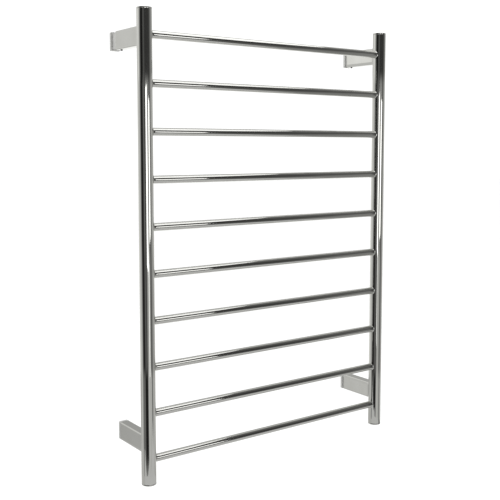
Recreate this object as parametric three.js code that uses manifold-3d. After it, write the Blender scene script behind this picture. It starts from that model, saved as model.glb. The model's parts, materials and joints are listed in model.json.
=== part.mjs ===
// Electric heated towel rail: two round posts, ten straight rungs, four adjustable wall brackets.
// Millimetres. X runs along the rungs, +Y points to the wall, +Z is up.
// The origin is on the wall plane, midway between the posts, level with the lower brackets.
import * as THREE from "three";
import { mergeVertices } from "three/addons/utils/BufferGeometryUtils.js";
import Module from "manifold-3d";

const wasm = await Module();
wasm.setup();

// ---- Driving dimensions ----
const POST_HEIGHT = 1000; // over the top cap and the bottom plug
const POST_SPACING = 668; // centre to centre
const POST_DIAMETER = 32;
const POST_WALL = 1.5;

const RUNG_COUNT = 10;
const RUNG_DIAMETER = 17;
const RUNG_WALL = 1.2;
const FIRST_RUNG_BELOW_TOP = 53;
const LAST_RUNG_ABOVE_BOTTOM = 53.5;
const RUNG_INSERTION = 3; // how far a rung's end passes the post's outside

const UPPER_BRACKET_BELOW_TOP = 56.5;
const LOWER_BRACKET_ABOVE_BOTTOM = 88;
const SLEEVE_WIDTH = 22;
const SLEEVE_HEIGHT = 40;
const SLEEVE_WALL = 2.5;
const SLEEVE_CORNER = 2.5;
const SLEEVE_INNER_CORNER = 1.5;
const SLEEVE_REACH = 107; // from the post's axis to the sleeve's wall end

const FLANGE_THICKNESS = 7;
const BLOCK_LENGTH = 46; // the part of a wall boss that slides in its sleeve
const FIXING_SPACING = 21; // between a boss's two wall screws
const FIXING_HOLE_DIAMETER = 5;
const FIXING_HEAD_DIAMETER = 9.5;
const FIXING_HEAD_DEPTH = 38;
const CHANNEL_DIAMETER = 8; // the way for a supply cable through a boss
const INLET_SEAT_DEPTH = 3;
const GROMMET_WALL = 1.5;
const LEAD_GROMMET_PROUD = 0.25; // past the post's outside, at the hole's middle
const INLET_LIP = 1; // how far the inlet grommet reaches into the channel

const GRUB_DIAMETER = 5;
const GRUB_PROUD = 1.6;
const GRUB_SOCKET = 2.5; // across the flats
const GRUB_SOCKET_DEPTH = 2.4;
const GRUB_INSET = 7; // from the sleeve's wall end

const CAP_HEAD = 3;
const CAP_CHAMFER = 0.8;
const CAP_SPIGOT = 9;
const SEAL_GROOVE_WIDTH = 2.6;
const SEAL_SIDES = 6;
const SEAL_GROOVE_DEPTH = 2;

const CABLE_DIAMETER = 5;
const CABLE_BEND = 9;
const CABLE_SIDES = 8;
const CABLE_DROP = 8; // how far the cable's lead lies under a bracket's centreline

const TERMINAL_SIZE = { x: 12, y: 24, z: 14 };
const TERMINAL_FROM_AXIS = 25;
const TERMINAL_POLES = 3;
const WIRE_WAY_DIAMETER = 2.4;
const WIRE_WAY_DEPTH = 18.2; // from the supply side
const SCREW_WELL_DIAMETER = 2;
const SCREW_WELL_INSET = 9.6; // from the supply side
const CUTOUT_DIAMETER = 7;
const CUTOUT_LENGTH = 20;
const CUTOUT_OFFSET = 7;
const END_SEAL_WALL = 1.2;
const END_SEAL_LENGTH = 14;
const END_SEAL_BELOW_CAP = 2;

const EARTH_STUD_DIAMETER = 4;
const EARTH_STUD_LENGTH = 11;
const EARTH_FROM_AXIS = 38;
const EARTH_TAG_THICKNESS = 0.8;
const EARTH_TAG_RING = 2; // the ring's width
const EARTH_NUT_HEIGHT = 3.2;
const EARTH_NUT_FLATS = 7;

const POST_SIDES = 32;
const RUNG_SIDES = 20;
const HOLE_SIDES = 16;
const SMALL_SIDES = 12;
const BEND_STEPS = 3;

const GAP = 0.3; // between pieces that touch on the real rail
const PAST = 1; // how far a cutter runs past the face it opens

// How far each boss is drawn out of its sleeve.
const BRACKETS = [
  { name: "top_left", side: -1, upper: true, drawn: 20 },
  { name: "top_right", side: 1, upper: true, drawn: 6 },
  { name: "bottom_left", side: -1, upper: false, drawn: 1.5 },
  { name: "bottom_right", side: 1, upper: false, drawn: 4 },
];
const WIRED_SIDE = 1; // the supply enters by the lower bracket on this side

// ---- Places that follow from them ----
const postRadius = POST_DIAMETER / 2;
const postBore = postRadius - POST_WALL;
const rungRadius = RUNG_DIAMETER / 2;
const bottomZ = -LOWER_BRACKET_ABOVE_BOTTOM;
const topZ = bottomZ + POST_HEIGHT;
const rungTop = POST_HEIGHT - FIRST_RUNG_BELOW_TOP;
const rungPitch = (rungTop - LAST_RUNG_ABOVE_BOTTOM) / (RUNG_COUNT - 1);
const mostDrawn = Math.max(...BRACKETS.map((bracket) => bracket.drawn));
const postY = -(SLEEVE_REACH + mostDrawn + FLANGE_THICKNESS);
const rungHeight = (index) => bottomZ + rungTop - index * rungPitch;
const bracketHeight = (bracket) => (bracket.upper ? topZ - UPPER_BRACKET_BELOW_TOP : 0);
const postX = (side) => (side * POST_SPACING) / 2;
const grommetRadius = CABLE_DIAMETER / 2 + GAP + GROMMET_WALL;
const inletSeatRadius = CHANNEL_DIAMETER / 2 + GROMMET_WALL;

// ---- Materials ----
function metal(colour, roughness) {
  return new THREE.MeshStandardMaterial({ color: colour, roughness, metalness: 1 });
}
function plain(colour, roughness) {
  return new THREE.MeshStandardMaterial({ color: colour, roughness, metalness: 0 });
}
const polished = metal(0xd9dad6, 0.06);
const satin = metal(0xbdbeb8, 0.25);
const darkSteel = metal(0x3a3a3a, 0.4);
const brass = metal(0xb59a55, 0.35);
const rubber = plain(0x1c1c1c, 0.85);
const silicone = plain(0xa23a2a, 0.6);
const ceramic = plain(0xd8d4c8, 0.55);

// ---- Solids ----
function toSolid(geometry) {
  const bare = geometry.clone();
  bare.deleteAttribute("normal");
  bare.deleteAttribute("uv");
  const merged = mergeVertices(bare, 1e-4);
  return new wasm.Manifold(
    new wasm.Mesh({
      numProp: 3,
      vertProperties: merged.attributes.position.array,
      triVerts: new Uint32Array(merged.index.array),
    }),
  );
}

function toGeometry(solid) {
  const mesh = solid.getMesh();
  const geometry = new THREE.BufferGeometry();
  geometry.setAttribute("position", new THREE.BufferAttribute(mesh.vertProperties, 3));
  geometry.setIndex(new THREE.BufferAttribute(mesh.triVerts, 1));
  const faceted = geometry.toNonIndexed();
  faceted.computeVertexNormals();
  return faceted;
}

// The first geometry with every cutter taken out of it.
function cut(geometry, cutters) {
  let solid = toSolid(geometry);
  for (const cutter of cutters) {
    solid = solid.subtract(toSolid(cutter));
  }
  return toGeometry(solid);
}

function join(first, second) {
  return toGeometry(toSolid(first).add(toSolid(second)));
}

// A closed ring of points [radius, z] turned about Z.
function turned(points, sides) {
  const ring = [...points, points[0]].map(([r, z]) => new THREE.Vector2(r, z));
  return new THREE.LatheGeometry(ring, sides).rotateX(Math.PI / 2);
}

// A straight tube about Z, from z = 0 up.
function tube(outer, inner, length, sides) {
  return turned([[inner, 0], [outer, 0], [outer, length], [inner, length]], sides);
}

// A solid rod about Z, from z = 0 up.
function rod(radius, length, sides = SMALL_SIDES) {
  return new THREE.CylinderGeometry(radius, radius, length, sides)
    .rotateX(Math.PI / 2)
    .translate(0, 0, length / 2);
}

const alongX = (geometry) => geometry.rotateY(Math.PI / 2);
const alongY = (geometry) => geometry.rotateX(-Math.PI / 2);

// A rectangle in X and Z with round corners, as a closed path.
function roundedRectangle(target, width, height, corner) {
  const x = width / 2;
  const z = height / 2;
  target.moveTo(-x + corner, -z);
  target.lineTo(x - corner, -z);
  target.absarc(x - corner, -z + corner, corner, -Math.PI / 2, 0);
  target.lineTo(x, z - corner);
  target.absarc(x - corner, z - corner, corner, 0, Math.PI / 2);
  target.lineTo(-x + corner, z);
  target.absarc(-x + corner, z - corner, corner, Math.PI / 2, Math.PI);
  target.lineTo(-x, -z + corner);
  target.absarc(-x + corner, -z + corner, corner, Math.PI, Math.PI * 1.5);
  return target;
}

// A bar of that section, from y = 0 towards the wall.
function bar(width, height, corner, length, hole) {
  const shape = roundedRectangle(new THREE.Shape(), width, height, corner);
  if (hole) {
    shape.holes.push(roundedRectangle(new THREE.Path(), hole.width, hole.height, hole.corner));
  }
  const settings = { depth: length, bevelEnabled: false, curveSegments: 3 };
  return new THREE.ExtrudeGeometry(shape, settings).rotateX(Math.PI / 2).translate(0, length, 0);
}

// ---- The rail ----
const rail = new THREE.Group();
rail.name = "towel_rail";

function place(name, geometry, material, x, y, z) {
  const mesh = new THREE.Mesh(geometry, material);
  mesh.name = name;
  mesh.position.set(x, y, z);
  rail.add(mesh);
}

const sideName = (side) => (side < 0 ? "left" : "right");
const isWired = (bracket) => !bracket.upper && bracket.side === WIRED_SIDE;

// A post: a tube with one hole for each rung on its inner side. The wired post also has
// a hole at the back, inside its lower bracket, for the heating cable's lead.
function postGeometry(side) {
  const length = POST_HEIGHT - 2 * CAP_HEAD - 2 * GAP;
  const base = CAP_HEAD + GAP;
  const shell = tube(postRadius, postBore, length, POST_SIDES).translate(0, 0, base);
  const cutters = [];
  for (let index = 0; index < RUNG_COUNT; index += 1) {
    const hole = alongX(rod(rungRadius + GAP, postRadius + PAST, HOLE_SIDES));
    const turnedIn = side < 0 ? hole : hole.rotateZ(Math.PI);
    cutters.push(turnedIn.translate(0, 0, rungHeight(index) - bottomZ));
  }
  if (side === WIRED_SIDE) {
    const lead = alongY(rod(grommetRadius, postRadius + PAST, HOLE_SIDES));
    cutters.push(lead.translate(0, 0, -bottomZ - CABLE_DROP));
  }
  return cut(shell, cutters);
}

for (const side of [-1, 1]) {
  place(`${sideName(side)}_post`, postGeometry(side), polished, postX(side), postY, bottomZ);
}

// Rungs: straight tubes whose ends sit in the posts' holes.
const rungLength = POST_SPACING - 2 * (postRadius - RUNG_INSERTION);
for (let index = 0; index < RUNG_COUNT; index += 1) {
  const geometry = alongX(tube(rungRadius, rungRadius - RUNG_WALL, rungLength, RUNG_SIDES));
  const name = `rung_${String(index + 1).padStart(2, "0")}`;
  place(name, geometry, polished, -rungLength / 2, postY, rungHeight(index));
}

// Top caps: a flat head as wide as the post, on a spigot that fits its bore.
// Bottom plugs: the same with a groove for a sealing ring round the spigot.
const spigotRadius = postBore - GAP;
const grooveRadius = spigotRadius - SEAL_GROOVE_DEPTH;
const grooveStart = CAP_HEAD + (CAP_SPIGOT - SEAL_GROOVE_WIDTH) / 2;
const grooveEnd = grooveStart + SEAL_GROOVE_WIDTH;

const capHead = [
  [0, 0],
  [postRadius - CAP_CHAMFER, 0],
  [postRadius, CAP_CHAMFER],
  [postRadius, CAP_HEAD],
  [spigotRadius, CAP_HEAD],
];
const capEnd = [
  [spigotRadius, CAP_HEAD + CAP_SPIGOT],
  [0, CAP_HEAD + CAP_SPIGOT],
];
const plugGroove = [
  [spigotRadius, grooveStart],
  [grooveRadius, grooveStart],
  [grooveRadius, grooveEnd],
  [spigotRadius, grooveEnd],
];

function lathe(points, sides) {
  const profile = points.map(([r, z]) => new THREE.Vector2(r, z));
  return new THREE.LatheGeometry(profile, sides).rotateX(Math.PI / 2);
}

function sealGeometry() {
  const middle = (postBore + grooveRadius) / 2;
  const radius = (postBore - grooveRadius) / 2 - GAP;
  const points = [];
  for (let step = 0; step < SEAL_SIDES; step += 1) {
    const angle = (step / SEAL_SIDES) * Math.PI * 2;
    points.push([middle + radius * Math.cos(angle), radius * Math.sin(angle)]);
  }
  return turned(points, RUNG_SIDES);
}

for (const side of [-1, 1]) {
  const name = sideName(side);
  const cap = lathe([...capHead, ...capEnd], POST_SIDES).rotateX(Math.PI);
  place(`${name}_top_cap`, cap, polished, postX(side), postY, topZ);
  const plug = lathe([...capHead, ...plugGroove, ...capEnd], POST_SIDES);
  place(`${name}_bottom_plug`, plug, polished, postX(side), postY, bottomZ);
  const sealZ = bottomZ + (grooveStart + grooveEnd) / 2;
  place(`${name}_plug_seal`, sealGeometry(), rubber, postX(side), postY, sealZ);
}

// Bracket sleeves: box-section arms, coped to the post, open at the wall end,
// with a threaded hole underneath for the grub screw.
const sleeveInside = {
  width: SLEEVE_WIDTH - 2 * SLEEVE_WALL,
  height: SLEEVE_HEIGHT - 2 * SLEEVE_WALL,
  corner: SLEEVE_INNER_CORNER,
};

function sleeveGeometry(bracket) {
  const box = bar(SLEEVE_WIDTH, SLEEVE_HEIGHT, SLEEVE_CORNER, SLEEVE_REACH, sleeveInside);
  const cope = rod(postRadius + GAP, SLEEVE_HEIGHT + 2 * PAST, POST_SIDES);
  cope.translate(0, 0, -SLEEVE_HEIGHT / 2 - PAST);
  const thread = rod(GRUB_DIAMETER / 2 + GAP, SLEEVE_WALL + 2 * PAST);
  thread.translate(0, SLEEVE_REACH - GRUB_INSET, -SLEEVE_HEIGHT / 2 - PAST);
  return cut(box, [cope, thread, ...rungReliefs(bracket)]);
}

// On a slim post a wide sleeve reaches round to the rungs, so it is cut clear of each rung.
function rungReliefs(bracket) {
  const reliefs = [];
  for (let index = 0; index < RUNG_COUNT; index += 1) {
    const z = rungHeight(index) - bracketHeight(bracket);
    if (Math.abs(z) < SLEEVE_HEIGHT / 2 + rungRadius + GAP) {
      const relief = alongX(rod(rungRadius + GAP, SLEEVE_WIDTH + 2 * PAST, HOLE_SIDES));
      reliefs.push(relief.translate(-SLEEVE_WIDTH / 2 - PAST, 0, z));
    }
  }
  return reliefs;
}

// Wall bosses: a flange with the sleeve's outline and a block that slides in the sleeve.
// Two counterbored holes take the wall screws, and the middle channel a supply cable.
function bossGeometry(wired) {
  const flange = bar(SLEEVE_WIDTH, SLEEVE_HEIGHT, SLEEVE_CORNER, FLANGE_THICKNESS);
  const width = sleeveInside.width - 2 * GAP;
  const height = sleeveInside.height - 2 * GAP;
  const block = bar(width, height, sleeveInside.corner, BLOCK_LENGTH + PAST);
  const body = join(flange, block.translate(0, -BLOCK_LENGTH, 0));
  const through = BLOCK_LENGTH + FLANGE_THICKNESS + 2 * PAST;
  const cutters = [];
  for (const z of [-FIXING_SPACING / 2, FIXING_SPACING / 2]) {
    const shank = alongY(rod(FIXING_HOLE_DIAMETER / 2, through));
    cutters.push(shank.translate(0, -BLOCK_LENGTH - PAST, z));
    const head = alongY(rod(FIXING_HEAD_DIAMETER / 2, FIXING_HEAD_DEPTH + PAST));
    cutters.push(head.translate(0, -BLOCK_LENGTH - PAST, z));
  }
  const channel = alongY(rod(CHANNEL_DIAMETER / 2, through));
  cutters.push(channel.translate(0, -BLOCK_LENGTH - PAST, 0));
  if (wired) {
    const seat = alongY(rod(inletSeatRadius, INLET_SEAT_DEPTH + PAST));
    cutters.push(seat.translate(0, FLANGE_THICKNESS - INLET_SEAT_DEPTH, 0));
  }
  return cut(body, cutters);
}

// Grub screws: a hexagon socket in the outer end, a flat tip that clamps the boss's block.
function grubGeometry() {
  const length = SLEEVE_WALL + GRUB_PROUD;
  const shank = rod(GRUB_DIAMETER / 2, length).translate(0, 0, -length);
  const socket = rod(GRUB_SOCKET / Math.sqrt(3), GRUB_SOCKET_DEPTH + PAST, 6);
  return cut(shank, [socket.translate(0, 0, -length - PAST)]);
}

for (const bracket of BRACKETS) {
  const x = postX(bracket.side);
  const z = bracketHeight(bracket);
  place(`${bracket.name}_bracket_sleeve`, sleeveGeometry(bracket), polished, x, postY, z);
  const flangeY = postY + SLEEVE_REACH + bracket.drawn;
  const boss = bossGeometry(isWired(bracket));
  place(`${bracket.name}_wall_boss`, boss, satin, x, flangeY, z);
  const grubY = postY + SLEEVE_REACH - GRUB_INSET;
  const tipZ = z - sleeveInside.height / 2;
  place(`${bracket.name}_grub_screw`, grubGeometry(), darkSteel, x, grubY, tipZ);
}

// ---- Inside ----
const wiredX = postX(WIRED_SIDE);
const wiredBracket = BRACKETS.find(isWired);

// A curve through given points in order, so that bends get short steps and straights one.
class Route extends THREE.Curve {
  constructor(points) {
    super();
    this.points = points;
  }
  getPointAt(share) {
    return this.points[Math.round(share * (this.points.length - 1))].clone();
  }
  getTangentAt(share) {
    const last = this.points.length - 1;
    const at = Math.round(share * last);
    const before = this.points[Math.max(at - 1, 0)];
    const after = this.points[Math.min(at + 1, last)];
    return after.clone().sub(before).normalize();
  }
}

// The corners of a route, each rounded to a bend radius with a few steps.
function roundCorners(corners, radius, steps) {
  const points = [corners[0]];
  for (let index = 1; index < corners.length - 1; index += 1) {
    const corner = corners[index];
    const back = corners[index - 1].clone().sub(corner).normalize();
    const on = corners[index + 1].clone().sub(corner).normalize();
    const centre = corner.clone().addScaledVector(back, radius).addScaledVector(on, radius);
    for (let step = 0; step <= steps; step += 1) {
      const angle = (step / steps) * (Math.PI / 2);
      const point = centre.clone();
      point.addScaledVector(on, -radius * Math.cos(angle));
      point.addScaledVector(back, -radius * Math.sin(angle));
      points.push(point);
    }
  }
  points.push(corners[corners.length - 1]);
  return points;
}

// The heating cable leaves the terminal block, enters the wired post from behind, and
// runs to and fro through every rung from the lowest to the highest.
const leadZ = -CABLE_DROP;
const terminalFace = postY + TERMINAL_FROM_AXIS;

function cableCorners() {
  const corners = [
    new THREE.Vector3(wiredX, terminalFace - GAP, leadZ),
    new THREE.Vector3(wiredX, postY, leadZ),
  ];
  let side = WIRED_SIDE;
  for (let index = RUNG_COUNT - 1; index >= 0; index -= 1) {
    corners.push(new THREE.Vector3(postX(side), postY, rungHeight(index)));
    side = -side;
    corners.push(new THREE.Vector3(postX(side), postY, rungHeight(index)));
  }
  corners.push(new THREE.Vector3(postX(side), postY, cableEndZ));
  return corners;
}

const cableEndZ = topZ - CAP_HEAD - CAP_SPIGOT - END_SEAL_LENGTH - END_SEAL_BELOW_CAP;
const cableRoute = roundCorners(cableCorners(), CABLE_BEND, BEND_STEPS);
const cableSection = new THREE.Shape();
cableSection.absarc(0, 0, CABLE_DIAMETER / 2, 0, Math.PI * 2);
const cable = new THREE.ExtrudeGeometry(cableSection, {
  extrudePath: new Route(cableRoute),
  steps: cableRoute.length - 1,
  curveSegments: CABLE_SIDES / 2,
  bevelEnabled: false,
});
place("heating_cable", cable, silicone, 0, 0, 0);

// A sealed cup over the cable's far end.
const sealInner = CABLE_DIAMETER / 2 + GAP;
const endSeal = lathe(
  [
    [0, END_SEAL_LENGTH / 2 + GAP],
    [sealInner, END_SEAL_LENGTH / 2 + GAP],
    [sealInner, 0],
    [sealInner + END_SEAL_WALL, 0],
    [sealInner + END_SEAL_WALL, END_SEAL_LENGTH],
    [0, END_SEAL_LENGTH],
  ],
  SMALL_SIDES,
);
const lastSide = RUNG_COUNT % 2 === 0 ? WIRED_SIDE : -WIRED_SIDE;
const endSealZ = cableEndZ - END_SEAL_LENGTH / 2;
place("cable_end_seal", endSeal, rubber, postX(lastSide), postY, endSealZ);

// A thermal cut-out strapped beside the cable, between the lead's hole and the lowest rung.
const cutoutMiddle = (leadZ + rungHeight(RUNG_COUNT - 1)) / 2;
const cutout = rod(CUTOUT_DIAMETER / 2, CUTOUT_LENGTH);
const cutoutX = wiredX + WIRED_SIDE * CUTOUT_OFFSET;
place("thermal_cutout", cutout, ceramic, cutoutX, postY, cutoutMiddle - CUTOUT_LENGTH / 2);

// The grommet in the post's wall, round the cable's lead.
const leadGrommet = alongY(
  tube(grommetRadius - GAP, CABLE_DIAMETER / 2 + GAP, POST_WALL, HOLE_SIDES),
);
const leadGrommetY = postY + postBore + LEAD_GROMMET_PROUD;
place("lead_grommet", leadGrommet, rubber, wiredX, leadGrommetY, leadZ);

// The grommet in the wired boss's wall face, where the supply cable enters.
const inletY = postY + SLEEVE_REACH + wiredBracket.drawn + FLANGE_THICKNESS - INLET_SEAT_DEPTH;
const inletGrommet = alongY(
  tube(
    inletSeatRadius - GAP,
    CHANNEL_DIAMETER / 2 - INLET_LIP,
    INLET_SEAT_DEPTH - 2 * GAP,
    SMALL_SIDES,
  ),
);
place("supply_inlet_grommet", inletGrommet, rubber, wiredX, inletY + GAP, 0);

// The terminal block: one wire way through each pole, and a screw well over each.
function terminalGeometry() {
  const { x, y, z } = TERMINAL_SIZE;
  const body = new THREE.BoxGeometry(x, y, z).translate(0, y / 2, 0);
  const cutters = [];
  for (let pole = 0; pole < TERMINAL_POLES; pole += 1) {
    const across = (pole - (TERMINAL_POLES - 1) / 2) * (x / TERMINAL_POLES);
    const way = alongY(rod(WIRE_WAY_DIAMETER / 2, WIRE_WAY_DEPTH + PAST, CABLE_SIDES));
    way.translate(across, y - WIRE_WAY_DEPTH, 0);
    const well = rod(SCREW_WELL_DIAMETER / 2, z / 2 + PAST, CABLE_SIDES);
    well.translate(across, y - SCREW_WELL_INSET, 0);
    cutters.push(way, well);
  }
  return cut(body, cutters);
}
place("terminal_block", terminalGeometry(), ceramic, wiredX, terminalFace, leadZ);

// The earth stud inside the sleeve's upper wall, with its ring tag and nut.
const earthY = postY + EARTH_FROM_AXIS;
const earthTop = sleeveInside.height / 2;
const stud = rod(EARTH_STUD_DIAMETER / 2, EARTH_STUD_LENGTH);
place("earth_stud", stud, brass, wiredX, earthY, earthTop - GAP - EARTH_STUD_LENGTH);
const washerInner = EARTH_STUD_DIAMETER / 2 + GAP;
const tag = tube(washerInner + EARTH_TAG_RING, washerInner, EARTH_TAG_THICKNESS, SMALL_SIDES);
place("earth_tag", tag, brass, wiredX, earthY, earthTop - 2 * GAP - EARTH_TAG_THICKNESS);
const nutBlank = rod(EARTH_NUT_FLATS / Math.sqrt(3), EARTH_NUT_HEIGHT, 6);
const nutBore = rod(washerInner, EARTH_NUT_HEIGHT + 2 * PAST).translate(0, 0, -PAST);
const nutZ = earthTop - 3 * GAP - EARTH_TAG_THICKNESS - EARTH_NUT_HEIGHT;
place("earth_nut", cut(nutBlank, [nutBore]), brass, wiredX, earthY, nutZ);

export default rail;
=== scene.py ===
# %% [markdown]
# # A wall-hung heated towel rail
# Two round posts, ten straight rungs and four box-section arms, all in mirror-polished
# stainless steel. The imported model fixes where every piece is. This lesson makes the fine
# surfaces round it. Everything is in metres: X runs along the rungs, +Y points to the wall.

# %% Load the frame
import json
import math

import bmesh
import bpy
import numpy as np
from mathutils import Matrix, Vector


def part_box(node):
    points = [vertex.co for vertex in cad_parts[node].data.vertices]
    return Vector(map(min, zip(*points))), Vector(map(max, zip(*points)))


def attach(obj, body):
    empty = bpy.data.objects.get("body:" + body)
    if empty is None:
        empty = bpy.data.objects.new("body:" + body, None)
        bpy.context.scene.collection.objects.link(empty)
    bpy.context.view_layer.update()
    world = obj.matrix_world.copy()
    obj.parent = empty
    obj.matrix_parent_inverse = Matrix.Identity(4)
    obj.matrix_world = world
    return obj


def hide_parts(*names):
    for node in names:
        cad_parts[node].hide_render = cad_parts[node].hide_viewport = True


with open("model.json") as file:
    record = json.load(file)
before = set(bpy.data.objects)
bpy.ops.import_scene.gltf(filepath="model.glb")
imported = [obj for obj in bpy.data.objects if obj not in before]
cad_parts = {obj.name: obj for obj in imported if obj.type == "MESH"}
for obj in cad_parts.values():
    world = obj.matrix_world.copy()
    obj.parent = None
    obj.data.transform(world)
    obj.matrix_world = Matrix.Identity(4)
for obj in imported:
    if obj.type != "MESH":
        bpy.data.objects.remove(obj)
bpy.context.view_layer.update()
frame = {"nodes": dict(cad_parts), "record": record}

# %% [markdown]
# ## Camera
# The rail is seen from its left, from a little below its third rung, so the rungs run away
# to the right. A level camera whose lens slides down would keep the posts upright. Here a
# small lens shift does nearly a third of that and a slight tilt the rest, because a large
# shift would push the rail out of the other views.

# %% Camera
CAMERA_PLACE = (-1.175, -1.648, 0.628)
CAMERA_TURN = 36.03  # degrees from straight at the wall, towards +X
CAMERA_TILT = 4.99  # degrees down
FOCAL_TO_FRAME = 1.6614  # focal length over the frame's width
SHIFT_RIGHT, SHIFT_UP = 0.0048, -0.06  # shares of the frame's width
SENSOR = 36.0

lens = bpy.data.cameras.new("camera")
lens.sensor_width = SENSOR
lens.lens = FOCAL_TO_FRAME * SENSOR
lens.shift_x = SHIFT_RIGHT
lens.shift_y = SHIFT_UP
camera = bpy.data.objects.new("camera", lens)
camera.location = CAMERA_PLACE
camera.rotation_euler = (math.radians(90 - CAMERA_TILT), 0, math.radians(-CAMERA_TURN))
bpy.context.scene.collection.objects.link(camera)
bpy.context.scene.camera = camera
print("focal length", round(lens.lens, 2), "mm")

# %% [markdown]
# ## Sizes taken from the frame
# Nothing is measured twice: the box of a CAD node gives each tube's radius and axis.

# %% Sizes
def centre_of(node):
    """The middle of a CAD node's box."""
    low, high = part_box(node)
    return np.array((low + high) / 2)


def size_of(node):
    """The lengths of a CAD node's box."""
    low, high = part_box(node)
    return np.array(high - low)


SIDES = ("left", "right")
RUNGS = sorted(name for name in frame["nodes"] if name.startswith("rung_"))
BRACKETS = ("top_left", "top_right", "bottom_left", "bottom_right")
X, Y, Z = 0, 1, 2  # the axes as numbers
POST_RADIUS = size_of("left_top_cap")[Y] / 2
RUNG_RADIUS = size_of("rung_01")[Y] / 2
POST_AXIS = {side: centre_of(f"{side}_post") for side in SIDES}
AXIS_DEPTH = POST_AXIS["left"][Y]  # the posts' and rungs' axes lie in one plane
print("post radius", round(POST_RADIUS, 4), "rung radius", round(RUNG_RADIUS, 4))

# %% [markdown]
# ## Metals
# Polished stainless steel is nearly a mirror, but not a perfect one. The polishing wheel
# leaves hair-fine lines round a tube, the tube is a little wavy along its length, and
# fingers leave faint dull clouds. One material carries all three: noise stretched round
# the tube for the wheel lines, broad low noise for the waviness, and a cloud for the
# roughness. An image texture would do it too, but noise never repeats and needs no file.

# %% Node helpers
def node_maker(tree):
    """A function that adds nodes to the tree."""
    def add(kind, **values):
        """One node of that kind; a value goes to the input or the setting of its name."""
        node = tree.nodes.new(kind)
        for key, value in values.items():
            if key in node.inputs:
                node.inputs[key].default_value = value
            else:
                setattr(node, key, value)
        return node

    return add


def new_material(name):
    """A node material with its principled shader, its node maker and its linker."""
    material = bpy.data.materials.new(name)
    material.use_nodes = True
    tree = material.node_tree
    return material, tree.nodes["Principled BSDF"], node_maker(tree), tree.links.new


# %% Noise, bump and tone
def object_pattern(add, link, stretch, scale, detail=3.0):
    """Noise on Object coordinates, squeezed by stretch along each axis."""
    place = add("ShaderNodeTexCoord")
    squeeze = add("ShaderNodeMapping", Scale=stretch)
    noise = add("ShaderNodeTexNoise", Scale=scale, Detail=detail)
    link(place.outputs["Object"], squeeze.inputs["Vector"])
    link(squeeze.outputs["Vector"], noise.inputs["Vector"])
    return noise.outputs["Fac"]


NOISE_RANGE = (0.3, 0.7)  # where nearly all of a noise's values lie


def remap(add, link, value, low, high):
    """A noise value taken from its own range to low..high."""
    node = add("ShaderNodeMapRange", **{"To Min": low, "To Max": high})
    node.inputs["From Min"].default_value, node.inputs["From Max"].default_value = NOISE_RANGE
    link(value, node.inputs["Value"])
    return node.outputs["Result"]


def bump(add, link, height, distance, strength):
    """Bump from a pattern of heights, distance metres from its lowest to its highest."""
    node = add("ShaderNodeBump", Distance=distance, Strength=strength)
    link(height, node.inputs["Height"])
    return node.outputs["Normal"]


COLOUR_A, COLOUR_B, COLOUR_OUT = 6, 7, 2  # the colour sockets of a mix node


def two_tones(add, link, share, first, second):
    """The colour between first (where share is 0) and second (where it is 1)."""
    mix = add("ShaderNodeMix", data_type="RGBA")
    mix.inputs[COLOUR_A].default_value = (*first, 1)
    mix.inputs[COLOUR_B].default_value = (*second, 1)
    link(share, mix.inputs["Factor"])
    return mix.outputs[COLOUR_OUT]


# %% Polished steel
EVEN = (1.0, 1.0, 1.0)
LINE_SCALE, LINE_STRETCH = 90.0, 60.0  # wheel lines: that much finer along the tube
WAVE_SCALE, WAVE_STRETCH = 40.0, 0.25  # the tube's waves: four times longer along it
WAVE_HEIGHT, WAVE_STRENGTH = 0.00002, 0.06
CLOUD_SCALE = 22.0
CLOUD_ROUGHNESS = (0.025, 0.04)
LINE_ROUGHNESS = (0.0, 0.012)
STEEL_DARK = (0.525, 0.525, 0.500)
STEEL_PALE = (0.560, 0.560, 0.538)


def polished_steel(name, along):
    """Mirror steel for a piece whose length runs along that axis."""
    material, shader, add, link = new_material(name)
    lines = list(EVEN)
    lines[along] = LINE_STRETCH
    waves = list(EVEN)
    waves[along] = WAVE_STRETCH
    wheel_lines = object_pattern(add, link, lines, LINE_SCALE)
    waviness = object_pattern(add, link, waves, WAVE_SCALE, detail=1.0)
    clouds = object_pattern(add, link, EVEN, CLOUD_SCALE, detail=4.0)
    dull = add("ShaderNodeMath", operation="ADD")
    link(remap(add, link, clouds, *CLOUD_ROUGHNESS), dull.inputs[0])
    link(remap(add, link, wheel_lines, *LINE_ROUGHNESS), dull.inputs[1])
    link(dull.outputs[0], shader.inputs["Roughness"])
    link(bump(add, link, waviness, WAVE_HEIGHT, WAVE_STRENGTH), shader.inputs["Normal"])
    cloud_share = remap(add, link, clouds, 0.0, 1.0)
    tone = two_tones(add, link, cloud_share, STEEL_DARK, STEEL_PALE)
    link(tone, shader.inputs["Base Color"])
    shader.inputs["Metallic"].default_value = 1.0
    return material


POST_STEEL = polished_steel("post_steel", Z)
RUNG_STEEL = polished_steel("rung_steel", X)
ARM_STEEL = polished_steel("arm_steel", Y)
print("steels", POST_STEEL.name, RUNG_STEEL.name, ARM_STEEL.name)

# %% [markdown]
# ## The other finishes
# The wall bosses are cast and tumbled, so they are satin with a fine even grain. The grub
# screws are blackened. Rubber, silicone, ceramic and brass are hidden in the tubes, yet
# each gets the grain and the colour drift of the real thing.

# %% Plainer finishes
DRIFT_BREADTH = 12  # how many times broader the colour's drift is than the grain
ROUGHNESS_SWING = 0.15
GRAIN_STRENGTH = 0.3


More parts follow.
